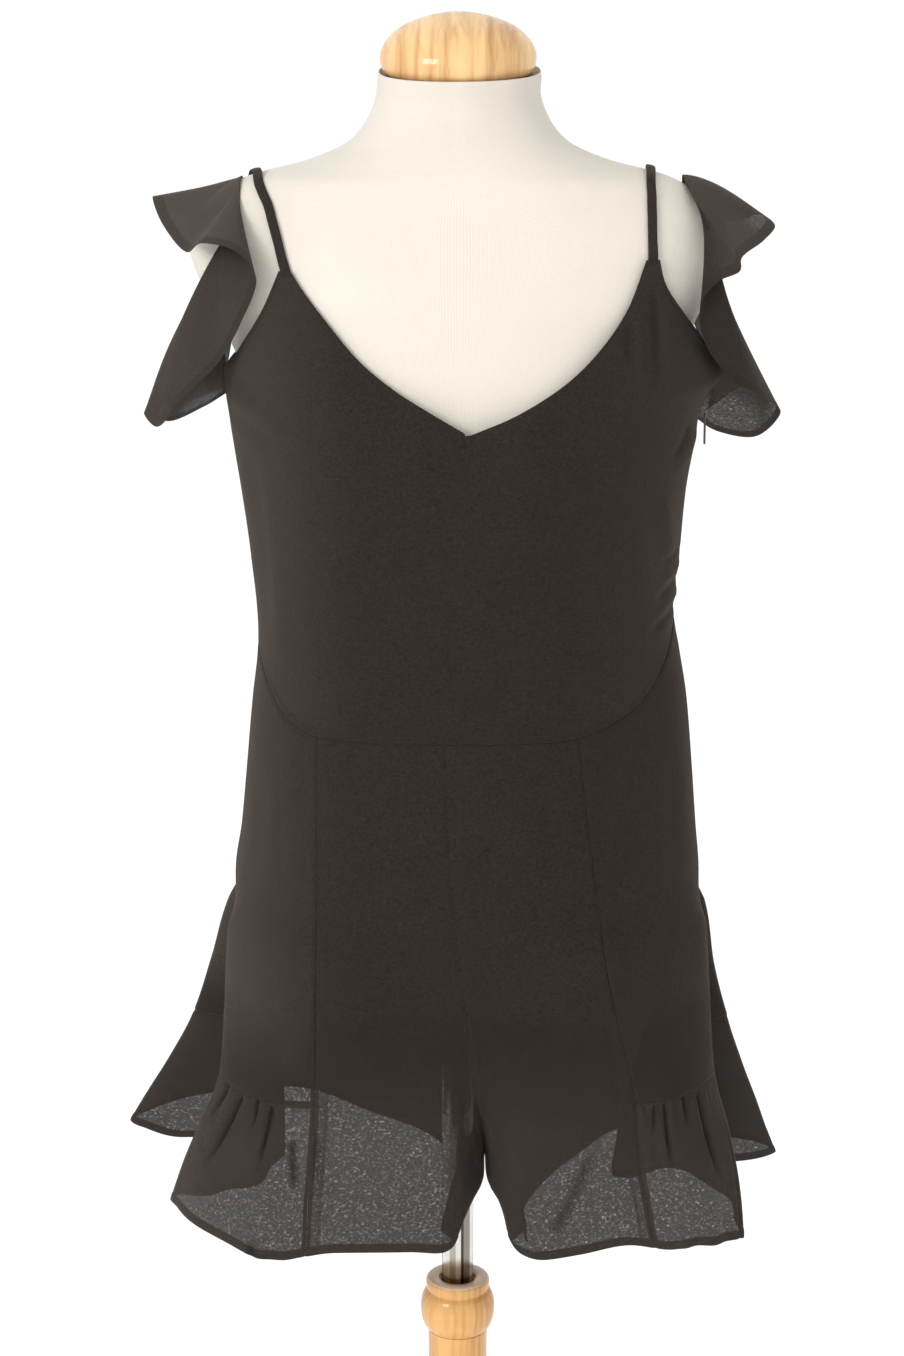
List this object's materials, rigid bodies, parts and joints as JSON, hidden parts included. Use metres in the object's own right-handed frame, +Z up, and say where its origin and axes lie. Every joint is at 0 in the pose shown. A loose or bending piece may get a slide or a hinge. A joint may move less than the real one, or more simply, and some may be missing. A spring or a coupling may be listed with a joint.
{
  "type": "short playsuit on a limbless dress form with stand",
  "caption": "Short playsuit in thin woven cloth with a V neck, flounce sleeves and gathered hem ruffles, worn by a limbless dress form on a turned wooden stand.",
  "frame": {"origin": "middle of the stand's base on the floor, under the pole", "axes": "+Z up, front of the garment towards -Y, the wearer's left towards +X"},
  "size_m": [0.5066, 0.38, 1.4419],
  "materials": {
    "cloth_black": "matt black crepe, slightly see-through in one layer",
    "jersey_cream": "cream cotton jersey cover",
    "wood_varnished": "varnished pine",
    "chrome": "polished chrome tube",
    "zip_metal": "black painted metal"
  },
  "bodies": {
    "playsuit_on_form": {"bodice_front": "cloth_black", "bodice_back": "cloth_black", "strap_left": "cloth_black", "strap_right": "cloth_black", "sleeve_left": "cloth_black", "sleeve_right": "cloth_black", "front_left": "cloth_black", "front_right": "cloth_black", "side_front_left": "cloth_black", "side_front_right": "cloth_black", "side_back_left": "cloth_black", "side_back_right": "cloth_black", "back_left": "cloth_black", "back_right": "cloth_black", "ruffle_front_left": "cloth_black", "ruffle_front_right": "cloth_black", "ruffle_back_left": "cloth_black", "ruffle_back_right": "cloth_black", "zip_slider": "zip_metal", "form_torso": "jersey_cream", "neck_cap": "wood_varnished", "pole": "chrome", "collar": "wood_varnished", "column": "wood_varnished", "base": "wood_varnished"},
    "zip_pull": {"zip_pull": "zip_metal"}
  },
  "joints": [
    {"name": "pull_swing", "type": "hinge", "parent": "playsuit_on_form", "child": "zip_pull", "pos_m": [0.17356, 0, 1.163], "axis": [0, -1, 0], "range_deg": [0, 90]}
  ]
}
